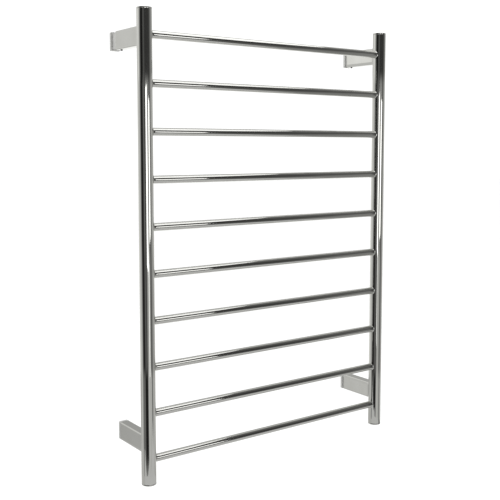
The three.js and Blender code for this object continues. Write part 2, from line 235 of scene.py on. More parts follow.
def grained(name, colour, drift, roughness, grain, depth, metallic=0.0):
    """A colour that drifts by a share, with a fine grain in bump and roughness."""
    material, shader, add, link = new_material(name)
    fine = object_pattern(add, link, EVEN, grain, detail=5.0)
    broad = object_pattern(add, link, EVEN, grain / DRIFT_BREADTH)
    darker = [c * (1 - drift) for c in colour]
    paler = [min(c * (1 + drift), 1) for c in colour]
    tone = two_tones(add, link, remap(add, link, broad, 0.0, 1.0), darker, paler)
    link(tone, shader.inputs["Base Color"])
    smoothest = roughness * (1 - ROUGHNESS_SWING)
    roughest = roughness * (1 + ROUGHNESS_SWING)
    link(remap(add, link, fine, smoothest, roughest), shader.inputs["Roughness"])
    link(bump(add, link, fine, depth, GRAIN_STRENGTH), shader.inputs["Normal"])
    shader.inputs["Metallic"].default_value = metallic
    return material


SATIN_ZINC = grained("satin_zinc", (0.50, 0.50, 0.485), 0.05, 0.36, 1400, 0.00002, 0.55)
BLACK_STEEL = grained("black_steel", (0.035, 0.035, 0.038), 0.3, 0.38, 2200, 0.00003, 0.8)
RUBBER = grained("black_rubber", (0.022, 0.022, 0.022), 0.2, 0.7, 1800, 0.00004)
SILICONE = grained("red_silicone", (0.36, 0.055, 0.04), 0.08, 0.5, 900, 0.00003)
CERAMIC = grained("white_ceramic", (0.70, 0.67, 0.60), 0.05, 0.55, 1500, 0.00003)
BRASS = grained("turned_brass", (0.60, 0.43, 0.17), 0.06, 0.3, 1200, 0.00002, 1.0)
print("materials", len(bpy.data.materials))

# %% [markdown]
# ## Surfaces as grids of points
# A tube, a cap or a box arm is one sheet of quads whose rows and columns close on
# themselves. A function of two parameters gives all the points at once, and one helper
# turns any such grid into a mesh. Spinning a profile with a modifier would give the round
# pieces too, but the grid also takes the coped ends, where the edge follows another tube.

# %% Grid helper
MERGE = 0.000001  # points closer than this are one point
ROUND, CRISP, THREAD_CRISP = 40, 30, 25  # degrees: a sharper bend shades as an edge


def grid_faces(rows, columns, wrap):
    """Quads of a grid whose columns close: (i, j), (i+1, j), (i+1, j+1), (i, j+1). With
    wrap the last row also joins the first."""
    i, j = np.meshgrid(np.arange(rows if wrap else rows - 1), np.arange(columns), indexing="ij")
    up, across = (i + 1) % rows, (j + 1) % columns
    corners = (i * columns + j, up * columns + j, up * columns + across, i * columns + across)
    return np.stack(corners, -1).reshape(-1, 4)


def grid_piece(name, points, material, smooth_angle=ROUND):
    """A named object at the origin from points of shape (rows, columns, 3). A grid whose
    first row is one point has a pole at each end; any other closes on itself. Points that
    meet are merged, then the faces turned outwards."""
    rows, columns = points.shape[:2]
    has_poles = np.ptp(points[0], axis=0).max() < MERGE / 10
    mesh = bpy.data.meshes.new(name)
    mesh.from_pydata(points.reshape(-1, 3), [], grid_faces(rows, columns, not has_poles).tolist())
    bm = bmesh.new()
    bm.from_mesh(mesh)
    bmesh.ops.remove_doubles(bm, verts=bm.verts, dist=MERGE)
    bmesh.ops.dissolve_degenerate(bm, edges=bm.edges, dist=MERGE / 10)
    bmesh.ops.recalc_face_normals(bm, faces=bm.faces)
    bm.to_mesh(mesh)
    bm.free()
    mesh.shade_smooth()
    mesh.set_sharp_from_angle(angle=math.radians(smooth_angle))
    mesh.materials.append(material)
    piece = bpy.data.objects.new(name, mesh)
    bpy.context.scene.collection.objects.link(piece)
    return piece


# %% Seats
def seat(piece, node):
    """The piece stands for one CAD node: it rides on that node's body and hides it."""
    bodies = frame["record"]["behaviour"]["bodies"]
    body = next(name for name, members in bodies.items() if node in members)
    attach(piece, body)
    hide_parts(node)
    return piece


# %% Curves and turned shapes
def turns(count):
    """Angles of a full turn, the end left out."""
    return np.linspace(0, 2 * np.pi, count, endpoint=False)


def arc(centre, radius, start, end, steps):
    """Points (a, b) on an arc from angle start to end, in degrees."""
    angle = np.radians(np.linspace(start, end, steps))
    return np.stack([centre[0] + radius * np.cos(angle), centre[1] + radius * np.sin(angle)], -1)


def round_grid(radii, heights, t):
    """Points (r cos t, r sin t, h) for a radius at each height and angle."""
    h = np.broadcast_to(np.reshape(heights, (-1, 1)), radii.shape)
    return np.stack([radii * np.cos(t), radii * np.sin(t), h], -1)


def lathe(profile, place, sides, axis=Z):
    """A closed profile of (radius, height) turned about a line through place along that
    axis. About Z it is x = r cos t, y = r sin t, z = h; the other axes follow in turn."""
    r, h = np.asarray(profile, float).T
    radii = np.repeat(r[:, None], sides, 1)
    return np.roll(round_grid(radii, h, turns(sides)), axis + 1, -1) + np.array(place)


# %% [markdown]
# ## Posts
# A post is a plain drawn tube. Its ends are faced off square on a lathe and the sharp
# edges taken down to a tiny round, which is what catches the light at the caps.

# %% Posts
POST_WALL = 0.0015
EDGE = 0.0003  # the round on a faced tube end
EDGE_STEPS = 5
RING_SPACING = 0.02
POST_SEGMENTS = 128


def tube_profile(outer, inner, low, high, edge):
    """Up the outside, over a rounded end, down the bore, and round the lower end."""
    return np.vstack([
        arc((outer - edge, low + edge), edge, -90, 0, EDGE_STEPS),
        arc((outer - edge, high - edge), edge, 0, 90, EDGE_STEPS),
        arc((inner + edge, high - edge), edge, 90, 180, EDGE_STEPS),
        arc((inner + edge, low + edge), edge, 180, 270, EDGE_STEPS),
    ])


def add_rings(profile, longest):
    """More points on a closed profile's long straights, so no quad is a long sliver."""
    onward = np.roll(profile, -1, 0) - profile
    counts = np.ceil(np.linalg.norm(onward, axis=1) / longest).astype(int)
    first = np.repeat(np.cumsum(counts) - counts, counts)
    share = (np.arange(counts.sum()) - first) * np.repeat(1 / counts, counts)
    return np.repeat(profile, counts, 0) + np.repeat(onward, counts, 0) * share[:, None]


for side in SIDES:
    node = f"{side}_post"
    low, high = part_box(node)
    profile = tube_profile(POST_RADIUS, POST_RADIUS - POST_WALL, low.z, high.z, EDGE)
    profile = add_rings(profile, RING_SPACING)
    axis = (POST_AXIS[side][0], AXIS_DEPTH, 0)
    tube = grid_piece(f"{side}_post_tube", lathe(profile, axis, POST_SEGMENTS), POST_STEEL)
    seat(tube, node)
    print(node, "rings", len(profile))

# %% [markdown]
# ## Rungs
# Each rung is cut to the curve of the post, pushed against it and welded, and the weld is
# polished down to a small even fillet. The surface is a tube along X whose end follows the
# post: at the height z and depth y of a point, the post's face is sqrt(R² - y²) from its
# axis. The fillet is a quarter circle that takes the tube's radius out by its own radius
# as it closes the last gap to the post.

# %% Rungs
FILLET = 0.0011
FILLET_STEPS = 7
RUNG_WALL = 0.0012
RUNG_SEGMENTS = 96
RUNG_RINGS = 41
RUNG_SMOOTH = 60  # degrees: wide enough for the fillet to shade as one with the tube
EMBED = 0.001  # how far the rung's end runs into the post's wall


def rung_rows(centre, half_span):
    """Rows of a rung: down the bore, into the right post, out over its fillet, along the
    outside, over the left fillet, and in again. For radius r and angle t about X,
    y = r cos t, z = r sin t, and x stops short of each post's axis by sqrt(R² - y²)."""
    t = turns(RUNG_SEGMENTS)
    turn = np.radians(np.linspace(90, 0, FILLET_STEPS))
    radii = np.concatenate([
        [RUNG_RADIUS - RUNG_WALL, RUNG_RADIUS],
        RUNG_RADIUS + FILLET * (1 - np.cos(turn)),
    ])
    gaps = np.concatenate([[-EMBED, -EMBED], FILLET * (1 - np.sin(turn))])
    y = radii[:, None] * np.cos(t)
    z = radii[:, None] * np.sin(t)
    reach = half_span - np.sqrt(POST_RADIUS**2 - y**2) - gaps[:, None]
    right = np.stack([reach, y, z], -1)
    middle_share = np.linspace(1, -1, RUNG_RINGS)[1:-1, None, None]
    outside = right[-1][None] * np.array([1, 0, 0]) * middle_share
    outside = outside + right[-1][None] * np.array([0, 1, 1])
    left = right[::-1] * np.array([-1, 1, 1])
    rows = np.vstack([right, outside, left])
    return rows + np.array(centre)


half_span = (POST_AXIS["right"][0] - POST_AXIS["left"][0]) / 2
for node in RUNGS:
    points = rung_rows((0, AXIS_DEPTH, centre_of(node)[2]), half_span)
    seat(grid_piece(f"{node}_tube", points, RUNG_STEEL, RUNG_SMOOTH), node)
print(len(RUNGS), "rungs", points.shape[:2], "points each")

# %% [markdown]
# ## Caps and plugs
# A turned disc closes each tube. Its head is as wide as the tube with a small rounded edge,
# and a fine shadow line is left where head and tube meet. The lower plugs have a wider
# round, because hands and towels brush past them, and a groove for their sealing ring.

# %% Cap profile
CAP_HEAD, CAP_LENGTH = 0.003, 0.012
CAP_ROUND, PLUG_ROUND = 0.0006, 0.0012
HEAD_LIP = 0.0003  # the round where the head meets the tube
SPIGOT = POST_RADIUS - POST_WALL - 0.0003  # less wide than the bore, to slide in
SPIGOT_CHAMFER = 0.0005
GROOVE_START, GROOVE_END, GROOVE_DEPTH = 0.0062, 0.0088, 0.002
SEAL_STEPS, SEAL_SEGMENTS = 24, 64


def cap_profile(edge, groove):
    """(radius, height) from the middle of the head's face round to the spigot's end, for
    a cap whose head faces down; the groove is cut in the spigot."""
    points = [
        [(0, 0)],
        arc((POST_RADIUS - edge, edge), edge, -90, 0, 8),
        arc((POST_RADIUS - HEAD_LIP, CAP_HEAD - HEAD_LIP), HEAD_LIP, 0, 90, 4),
        [(SPIGOT, CAP_HEAD)],
    ]
    if groove:
        bottom = SPIGOT - GROOVE_DEPTH
        points.append([(SPIGOT, GROOVE_START), (bottom, GROOVE_START)])
        points.append([(bottom, GROOVE_END), (SPIGOT, GROOVE_END)])
    points.append([(SPIGOT, CAP_LENGTH - SPIGOT_CHAMFER)])
    points.append([(SPIGOT - SPIGOT_CHAMFER, CAP_LENGTH), (0, CAP_LENGTH)])
    return np.vstack(points)


print("spigot", round(SPIGOT * 2000, 1), "mm wide")

# %% Caps, plugs and seals
for side in SIDES:
    x = POST_AXIS[side][0]
    top = (x, AXIS_DEPTH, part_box(f"{side}_top_cap")[1].z)
    points = lathe(cap_profile(CAP_ROUND, False) * np.array([1, -1]), top, POST_SEGMENTS)
    seat(grid_piece(f"{side}_cap_disc", points, POST_STEEL), f"{side}_top_cap")
    bottom = (x, AXIS_DEPTH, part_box(f"{side}_bottom_plug")[0].z)
    points = lathe(cap_profile(PLUG_ROUND, True), bottom, POST_SEGMENTS)
    plug = grid_piece(f"{side}_plug_disc", points, POST_STEEL)
    seat(plug, f"{side}_bottom_plug")
    wide, _, tall = size_of(f"{side}_plug_seal")
    bead = tall / 2
    profile = arc((wide / 2 - bead, 0), bead, 0, 360 - 360 / SEAL_STEPS, SEAL_STEPS)
    points = lathe(profile, centre_of(f"{side}_plug_seal"), SEAL_SEGMENTS)
    seat(grid_piece(f"{side}_seal_ring", points, RUBBER), f"{side}_plug_seal")
print("caps, plugs and rings on", SIDES)

# %% [markdown]
# ## Holes
# Screw holes are drilled after a piece is cast or welded, so they are made the same way
# here: a turned cutter is taken out of the finished shape, and only the result is kept.

# %% Carving
SLIVER = 0.000002  # edges shorter than this are left-overs of a cut
PAST = 0.001  # how far a cutter runs out of the surface it opens
BORE_SEGMENTS = 48
FLARE = 0.0003
MIDDLE = (0, 0, 0)


def carve(piece, cutters, place, smooth_angle=CRISP):
    """Takes each grid of points in cutters out of the piece, one by one and for good, and
    then moves its mesh to place. Slivers left by a cut are closed up after it."""
    for points in cutters:
        tool = grid_piece("cutter", points, piece.data.materials[0])
        hole = piece.modifiers.new("hole", "BOOLEAN")
        hole.operation = "DIFFERENCE"
        hole.solver = "EXACT"
        hole.object = tool
        cut = piece.evaluated_get(bpy.context.evaluated_depsgraph_get())
        mesh = bpy.data.meshes.new_from_object(cut)
        piece.modifiers.clear()
        bm = bmesh.new()
        bm.from_mesh(mesh)
        bmesh.ops.dissolve_degenerate(bm, dist=SLIVER, edges=bm.edges)
        bmesh.ops.remove_doubles(bm, verts=bm.verts, dist=SLIVER)
        bm.to_mesh(mesh)
        bm.free()
        piece.data = mesh
        bpy.data.objects.remove(tool)
    piece.data.transform(Matrix.Translation(place))
    piece.data.set_sharp_from_angle(angle=math.radians(smooth_angle))
    return piece


def bore(radius, start, end, place, axis, sides=BORE_SEGMENTS, flare=FLARE):
    """A cutter from start to end along an axis, its mouth at start widened by flare."""
    mouth = start - PAST
    profile = [(0, mouth), (radius + flare, mouth), (radius + flare, start)]
    profile += [(radius, start + flare), (radius, end), (0, end)]
    return lathe(profile, place, sides, axis)


# %% [markdown]
# ## Bracket arms
# Each arm is a rectangular box section with rounded corners. One end is coped to the post
# and welded, the other is open for the wall boss. Its cross-section is a rounded rectangle
# in X and Z, found as an arc at each corner, and it is carried along Y: outside from the
# post to the wall, over a rounded lip, and back along the inside. A hole under its wall end
# takes the grub screw.

# %% Box sections
def rounded_rectangle(width, height, corner, corner_steps=8, side_steps=6):
    """Points (x, z) round a rectangle with round corners, straights divided evenly."""
    x, z = width / 2 - corner, height / 2 - corner
    corners = np.stack([
        arc((x, z), corner, 0, 90, corner_steps),
        arc((-x, z), corner, 90, 180, corner_steps),
        arc((-x, -z), corner, 180, 270, corner_steps),
        arc((x, -z), corner, 270, 360, corner_steps),
    ])
    side_start = corners[:, -1:]
    side_end = np.roll(corners[:, :1], -1, 0)
    share = np.linspace(0, 1, side_steps, endpoint=False)[1:, None]
    sides = side_start + (side_end - side_start) * share
    return np.concatenate([corners, sides], axis=1).reshape(-1, 2)


def shrink(section, width, height, corner, by):
    """The same section with its walls moved in by that much (out if it is negative), point
    for point, so that grids keep their columns."""
    x, z = section.T
    reach_x, reach_z = width / 2 - corner, height / 2 - corner
    core = np.stack([np.clip(x, -reach_x, reach_x), np.clip(z, -reach_z, reach_z)], -1)
    offset = section - core
    length = np.linalg.norm(offset, axis=1, keepdims=True)
    return core + offset / length * (length - by)


# %% Arm surface
ARM_CORNER = 0.0025
ARM_WALL = 0.0025
ARM_INSIDE = ARM_WALL - 0.0001  # the inside is a hair wide of the nominal wall
LIP = 0.0004
LIP_OUT = np.radians(np.linspace(15, 90, 6))  # over the lip from the outside
LIP_IN = np.radians(np.linspace(0, 90, 5))  # and on to the inside
ARM_FILLET = 0.0012
ARM_EASE = 0.004  # the plain rows start and end this far from the arm's ends
OUTSIDE_ROWS, INSIDE_ROWS = 18, 12
TAPPED_RADIUS = 0.0028


def arm_rows(width, height, length):
    """Rows of an arm, y from the post's axis. The coped end follows sqrt(R² - x²)."""
    outside = rounded_rectangle(width, height, ARM_CORNER)
    rows = []

    def row(by, y):
        """The section, moved in by that much, at y (one for all points, or one for each)."""
        section = shrink(outside, width, height, ARM_CORNER, by)
        rows.append(np.stack([section[:, 0], np.broadcast_to(y, len(section)), section[:, 1]], -1))

    def coped(by, gap):
        """The section where it meets the post, short of the post's face by gap."""
        section = shrink(outside, width, height, ARM_CORNER, by)
        row(by, np.sqrt(POST_RADIUS**2 - section[:, 0] ** 2) + gap)

    coped(ARM_INSIDE, -EMBED)
    coped(0, -EMBED)
    for turn in np.radians(np.linspace(90, 0, FILLET_STEPS)):
        coped(-ARM_FILLET * (1 - np.cos(turn)), ARM_FILLET * (1 - np.sin(turn)))
    start = POST_RADIUS + ARM_EASE
    for y in np.linspace(start, length - LIP, OUTSIDE_ROWS):
        row(0, y)
    for turn in LIP_OUT:
        row(LIP * (1 - np.cos(turn)), length - LIP * (1 - np.sin(turn)))
    for turn in LIP_IN:
        row(ARM_INSIDE - LIP * (1 - np.sin(turn)), length - LIP * (1 - np.cos(turn)))
    for y in np.linspace(length - ARM_EASE, start, INSIDE_ROWS):
        row(ARM_INSIDE, y)
    return np.stack(rows)


print("arm inside", round((ARM_WALL - ARM_INSIDE) * 1000, 1), "mm wide of its wall")

# %% Bracket arms
for bracket in BRACKETS:
    node = f"{bracket}_bracket_sleeve"
    low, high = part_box(node)
    x, _, z = centre_of(node)
    points = arm_rows(high.x - low.x, high.z - low.z, high.y - AXIS_DEPTH)
    points = points + np.array([0, AXIS_DEPTH, 0])
    box = grid_piece(f"{bracket}_arm", points, ARM_STEEL, CRISP)
    under = (low.z - high.z) / 2
    screw = (0, centre_of(f"{bracket}_grub_screw")[Y], 0)
    hole = bore(TAPPED_RADIUS, under, under + ARM_WALL + PAST, screw, Z)
    seat(carve(box, [hole], (x, 0, z)), node)
print("arm", round((high.y - AXIS_DEPTH) * 1000, 1), "mm from the post's axis")

# %% [markdown]
# ## Wall bosses
# A boss is a zinc casting: a flange with the arm's outline, which shows as a thin line at
# the wall, and a block that slides in the arm. Its edges are eased and its holes run the
# whole way: two for the wall screws, wide behind for their heads, and one for the cable.

# %% Bars with eased ends
EASE_STEPS = 5


def carried(stations):
    """Rows of a bar along Y from stations of (width, height, corner, inset, y): at each y
    the rounded rectangle, its walls moved in by the inset. The ends close at a point."""
    rows = [np.insert(shrink(rounded_rectangle(*size), *size, inset), 1, y, axis=1)
            for *size, inset, y in stations]
    ends = [np.zeros_like(rows[0]) + (0, stations[i][-1], 0) for i in (0, -1)]
    return np.stack([ends[0], *rows, ends[1]])


def eased(size, start, end, edge):
    """Stations of a bar from start to end with its end edges rounded by edge: first those
    of the near end, then as many of the far end."""
    turn = np.radians(np.linspace(0, 90, EASE_STEPS))
    inset, along = edge * (1 - np.sin(turn)), edge * (1 - np.cos(turn))
    near = [(*size, i, start + a) for i, a in zip(inset, along)]
    far = [(*size, i, end - a) for i, a in zip(inset[::-1], along[::-1])]
    return near + far


# %% Wall bosses
FLANGE = 0.007
FLANGE_EDGE, BLOCK_EDGE = 0.0004, 0.0006
BLOCK_CLEARANCE = 0.0003
BLOCK_CORNER = ARM_CORNER - 0.001
FIXING_SPACING = 0.021
FIXING_RADIUS, HEAD_RADIUS, HEAD_DEPTH = 0.0025, 0.00475, 0.038
CHANNEL_RADIUS = 0.004
SEAT_RADIUS, SEAT_DEPTH = 0.0055, 0.003  # where the supply's grommet sits
WIRED = "bottom_right"
for bracket in BRACKETS:
    node = f"{bracket}_wall_boss"
    low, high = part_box(node)
    x, _, z = centre_of(node)
    flange = (high.x - low.x, high.z - low.z, ARM_CORNER)
    slack = 2 * (ARM_WALL + BLOCK_CLEARANCE)
    block = (flange[0] - slack, flange[1] - slack, BLOCK_CORNER)
    face = high.y - FLANGE
    stations = eased(block, low.y, face, BLOCK_EDGE)[:EASE_STEPS] + [(*block, 0, face)]
    stations += eased(flange, face, high.y, FLANGE_EDGE)
    cutters = [bore(CHANNEL_RADIUS, low.y, high.y + PAST, MIDDLE, Y)]
    for up in (-FIXING_SPACING / 2, FIXING_SPACING / 2):
        cutters.append(bore(HEAD_RADIUS, low.y, low.y + HEAD_DEPTH, (0, 0, up), Y))
        cutters.append(bore(FIXING_RADIUS, low.y, high.y + PAST, (0, 0, up), Y, flare=0))
    if bracket == WIRED:
        deep = high.y - SEAT_DEPTH
        cutters.append(bore(SEAT_RADIUS, deep + PAST, high.y + PAST, MIDDLE, Y, flare=0))
    solid = grid_piece(f"{bracket}_boss_casting", carried(stations), SATIN_ZINC)
    boss = carve(solid, cutters, (x, 0, z))
    seat(boss, node)
print("bosses", len(boss.data.polygons), "faces in the last")

# %% [markdown]
# ## Grub screws
# A blackened M5 screw under each arm clamps the boss. Its thread is a ridge that climbs
# one pitch a turn, so a point's radius depends on its height and its angle together, and
# its hexagon socket is a hole whose radius follows the flats: a / cos(t - the middle of
# that flat). A texture could fake the thread, but its outline would stay smooth.

# %% Threads and hexagons
def thread(radius, depth, pitch, heights, t):
    """A thread's radius at each height and angle: straight flanks from the crests down to
    their roots, which lie deeper by depth, climbing one pitch a turn."""
    climb = (heights / pitch - t / (2 * np.pi)) % 1
    return radius - depth * (1 - np.abs(2 * climb - 1))


FLAT = np.pi / 3  # the angle that each of six flats takes


def hexagon(apothem, t):
    """The distance to a hexagon's flat at angle t, where t = 0 is a corner."""
    return apothem / np.cos(t % FLAT - FLAT / 2)


# %% Grub screws
THREAD_PITCH, THREAD_DEPTH = 0.0008, 0.0003
THREAD_END, THREAD_FADE = 0.0003, 0.0007  # plain ends, and how soon the thread is full
THREAD_ROWS = 49
TIP_SHARE, RIM_SHARE = 0.6, 0.8  # of the screw's radius, at its tip and socket ends
TIP_CHAMFER = 0.0001
SOCKET_APOTHEM, SOCKET_DEPTH = 0.00125, 0.0024
SOCKET_FLARE, SOCKET_LEAD = 1.08, 0.00015  # the socket's mouth: how wide, how deep
SOCKET_CONE = 0.0003
GRUB_SIDES = 48


def grub_rows(radius, length):
    """Rows from the clamping tip (height 0) down the thread to the socket's floor."""
    t = turns(GRUB_SIDES)
    heights = np.linspace(THREAD_END, length - THREAD_END, THREAD_ROWS)[:, None]
    ridge = thread(radius, THREAD_DEPTH, THREAD_PITCH, heights, t)
    fade = np.clip(np.minimum(heights, length - heights) / THREAD_FADE, 0, 1)
    ridge = np.minimum(ridge, radius - THREAD_DEPTH * (1 - fade))
    socket = hexagon(SOCKET_APOTHEM, t + FLAT / 2)
    plain = np.ones(GRUB_SIDES)
    radii = np.vstack([
        0 * plain, TIP_SHARE * radius * plain, (radius - THREAD_DEPTH) * plain, ridge,
        RIM_SHARE * radius * plain, SOCKET_FLARE * socket, socket, socket, 0 * plain,
    ])
    floor = length - SOCKET_DEPTH
    depths = [0, 0, TIP_CHAMFER, *heights[:, 0], length, length, length - SOCKET_LEAD, floor,
              floor - SOCKET_CONE]
    return round_grid(radii, -np.array(depths), t)


for bracket in BRACKETS:
    node = f"{bracket}_grub_screw"
    low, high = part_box(node)
    place = np.array([*centre_of(node)[:2], high.z])
    points = grub_rows((high.x - low.x) / 2, high.z - low.z) + place
    seat(grid_piece(f"{bracket}_grub", points, BLACK_STEEL, THREAD_CRISP), node)
print("grub screws", points.shape[:2], "points each")

# %% [markdown]
# ## The heating cable
# One silicone cable runs to and fro through all ten rungs. It is a circle carried along a
# path of straights and quarter bends. At each point the circle is set square to the path:
# its two directions are found from the tangent, first with X held and, once the path has
# turned down into the post, with Y held, which agree where they meet.

# %% Heating cable's path
CABLE_RADIUS = 0.0025
CABLE_BEND = 0.009
BEND_POINTS = 9


def cable_path():
    """The path's points: for each corner, centre - r cos a * onward - r sin a * back."""
    wired_x, spare_x = POST_AXIS["right"][0], POST_AXIS["left"][0]
    lead = centre_of("terminal_block")[2]
    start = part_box("heating_cable")[1].y
    corners = [(wired_x, start, lead), (wired_x, AXIS_DEPTH, lead)]
    for index, node in enumerate(reversed(RUNGS)):
        ends = (wired_x, spare_x) if index % 2 == 0 else (spare_x, wired_x)
        corners += [(end, AXIS_DEPTH, centre_of(node)[2]) for end in ends]
    corners.append((ends[1], AXIS_DEPTH, centre_of("cable_end_seal")[2]))
    corners = np.array(corners)
    middle = corners[1:-1]
    back = corners[:-2] - middle
    onward = corners[2:] - middle
    back = back / np.linalg.norm(back, axis=1, keepdims=True)
    onward = onward / np.linalg.norm(onward, axis=1, keepdims=True)
    turn = np.radians(np.linspace(0, 90, BEND_POINTS))[None, :, None]
    centre = middle + CABLE_BEND * (back + onward)
    round_part = np.cos(turn) * onward[:, None] + np.sin(turn) * back[:, None]
    bends = centre[:, None] - CABLE_BEND * round_part
    return np.vstack([corners[:1], bends.reshape(-1, 3), corners[-1:]])


path = cable_path()
steps = np.linalg.norm(np.diff(path, axis=0), axis=1)
print("cable", round(float(steps.sum()), 2), "m long")


# %% Heating cable
CABLE_SIDES = 20


def cable_rows(path):
    """Circles square to the path, and a point at each end."""
    ahead = np.vstack([path[1:], path[-1:]]) - np.vstack([path[:1], path[:-1]])
    ahead = ahead / np.linalg.norm(ahead, axis=1, keepdims=True)
    in_lead = (np.arange(len(path)) <= BEND_POINTS)[:, None]  # the start and the first bend
    first = np.where(in_lead, (1, 0, 0), np.cross((0, -1, 0), ahead))
    second = np.where(in_lead, np.cross(ahead, (1, 0, 0)), (0, -1, 0))
    t = turns(CABLE_SIDES)[None, :, None]
    ring = np.cos(t) * first[:, None] + np.sin(t) * second[:, None]
    rows = path[:, None] + CABLE_RADIUS * ring
    ends = [np.zeros_like(rows[0]) + path[i] for i in (0, -1)]
    return np.vstack([ends[0][None], rows, ends[1][None]])


cable = grid_piece("heating_cable_run", cable_rows(path), SILICONE)
seat(cable, "heating_cable")
print("cable faces", len(cable.data.polygons))

# %% [markdown]
# ## The small pieces inside
# The cable's end cap, the thermal cut-out, the two grommets, the terminal block and the
# earth stud with its tag and nut are standard parts. Most are turned from a profile; the
# nut is a turned shape whose radius follows six flats, its corners taken down by a cone.

# %% Cable end
CLEARANCE = 0.0003  # between the cable and what it passes through
CUP_RIM, CUP_END, CUP_FLARE = 0.0006, 0.0025, 0.0004
CUP_SEGMENTS, TURNED_SEGMENTS = 32, 40


def upright(node):
    """A standing node's radius, its height, and the middle of its foot."""
    low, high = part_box(node)
    x, y, _ = centre_of(node)
    return (high.x - low.x) / 2, high.z - low.z, (x, y, low.z)


radius, tall, foot = upright("cable_end_seal")
mouth, floor = CABLE_RADIUS + CLEARANCE, tall / 2 + CLEARANCE
cup = np.vstack([
    [(0, floor), (mouth, floor), (mouth, CUP_FLARE)],
    arc((radius - CUP_RIM, CUP_RIM), CUP_RIM, -90, 0, 5),
    arc((radius - CUP_END, tall - CUP_END), CUP_END, 0, 90, 8),
    [(0, tall)],
])
end_cup = grid_piece("cable_end_cup", lathe(cup, foot, CUP_SEGMENTS), RUBBER)
seat(end_cup, "cable_end_seal")
print("end cup", round(tall * 1000, 1), "mm tall")

# %% Thermal cut-out
CAN_EDGE = 0.001
CRIMP_START, CRIMP_END, CRIMP_DEPTH, CRIMP_FLANK = 0.004, 0.0054, 0.0003, 0.0002
radius, tall, foot = upright("thermal_cutout")
waist = radius - CRIMP_DEPTH
body = np.vstack([
    [(0, 0)],
    arc((radius - CAN_EDGE, CAN_EDGE), CAN_EDGE, -90, 0, 6),
    [(radius, CRIMP_START), (waist, CRIMP_START + CRIMP_FLANK)],
    [(waist, CRIMP_END - CRIMP_FLANK), (radius, CRIMP_END)],
    arc((radius - CAN_EDGE, tall - CAN_EDGE), CAN_EDGE, 0, 90, 6),
    [(0, tall)],
])
cutout = grid_piece("cutout_body", lathe(body, foot, TURNED_SEGMENTS), CERAMIC)
seat(cutout, "thermal_cutout")
print("cut-out", round(tall * 1000, 1), "mm tall")


# %% Grommets
def grommet(node, name, inner):
    """A rubber ring about Y with rounded rims and a shallow waist."""
    low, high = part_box(node)
    outer, deep = (high.x - low.x) / 2, high.y - low.y
    rim = deep / 5
    profile = np.vstack([
        arc((inner + rim, rim), rim, 180, 270, 5),
        arc((outer - rim, rim), rim, -90, 0, 5),
        [(outer - rim / 3, deep / 2)],
        arc((outer - rim, deep - rim), rim, 0, 90, 5),
        arc((inner + rim, deep - rim), rim, 90, 180, 5),
    ])
    x, _, z = centre_of(node)
    ring = grid_piece(name, lathe(profile, (x, low.y, z), TURNED_SEGMENTS, Y), RUBBER)
    seat(ring, node)


INLET_RADIUS = CHANNEL_RADIUS - 0.001
grommet("lead_grommet", "lead_grommet_ring", CABLE_RADIUS + CLEARANCE)
grommet("supply_inlet_grommet", "inlet_grommet_ring", INLET_RADIUS)
print("inlet", INLET_RADIUS * 2000, "mm wide")

# %% Earth stud
STUD_SIDES, STUD_ROWS = TURNED_SEGMENTS, 100
STUD_PITCH, STUD_DEPTH = 0.0007, 0.00025
STUD_EDGE = 0.0004
radius, tall, foot = upright("earth_stud")
t = turns(STUD_SIDES)
heights = np.linspace(STUD_EDGE, tall - STUD_EDGE, STUD_ROWS)[:, None]
ridge = thread(radius, STUD_DEPTH, STUD_PITCH, heights, t)
end = np.zeros((1, STUD_SIDES))
radii = np.vstack([end, end + RIM_SHARE * radius, ridge, end + RIM_SHARE * radius, end])
rise = [0, 0, *heights[:, 0], tall, tall]
points = round_grid(radii, rise, t) + np.array(foot)
seat(grid_piece("earth_stud_rod", points, BRASS, THREAD_CRISP), "earth_stud")
print("earth stud", round(radius * 2000, 1), "mm thick")

# %% Earth tag and nut
NUT_SIDES = 72
NUT_CHAMFER = 0.0005
NUT_CONE = 1.02  # the cone meets the end faces that many apothems out
STUD_HOLE = 0.0023
TAG_WIDTH, TAG_EDGE = 0.002, 0.0001

radius, tall, foot = upright("earth_tag")
ring = tube_profile(radius, radius - TAG_WIDTH, 0, tall, TAG_EDGE)
tag = grid_piece("earth_tag_ring", lathe(ring, foot, TURNED_SEGMENTS), BRASS)
seat(tag, "earth_tag")

wide, deep, _ = size_of("earth_nut")
_, tall, foot = upright("earth_nut")
apothem = min(wide, deep) / 2
t = turns(NUT_SIDES)
flats = hexagon(apothem, t + (0 if wide > deep else FLAT / 2))
hole = STUD_HOLE + 0 * t
cone = np.minimum(flats, apothem * NUT_CONE)
radii = np.stack([hole, hole, cone, flats, flats, cone])
rise = [tall, 0, 0, NUT_CHAMFER, tall - NUT_CHAMFER, tall]
points = round_grid(radii, rise, t) + np.array(foot)
seat(grid_piece("earth_nut_hex", points, BRASS, THREAD_CRISP), "earth_nut")
print("earth nut", round(apothem * 2000, 1), "mm across its flats")

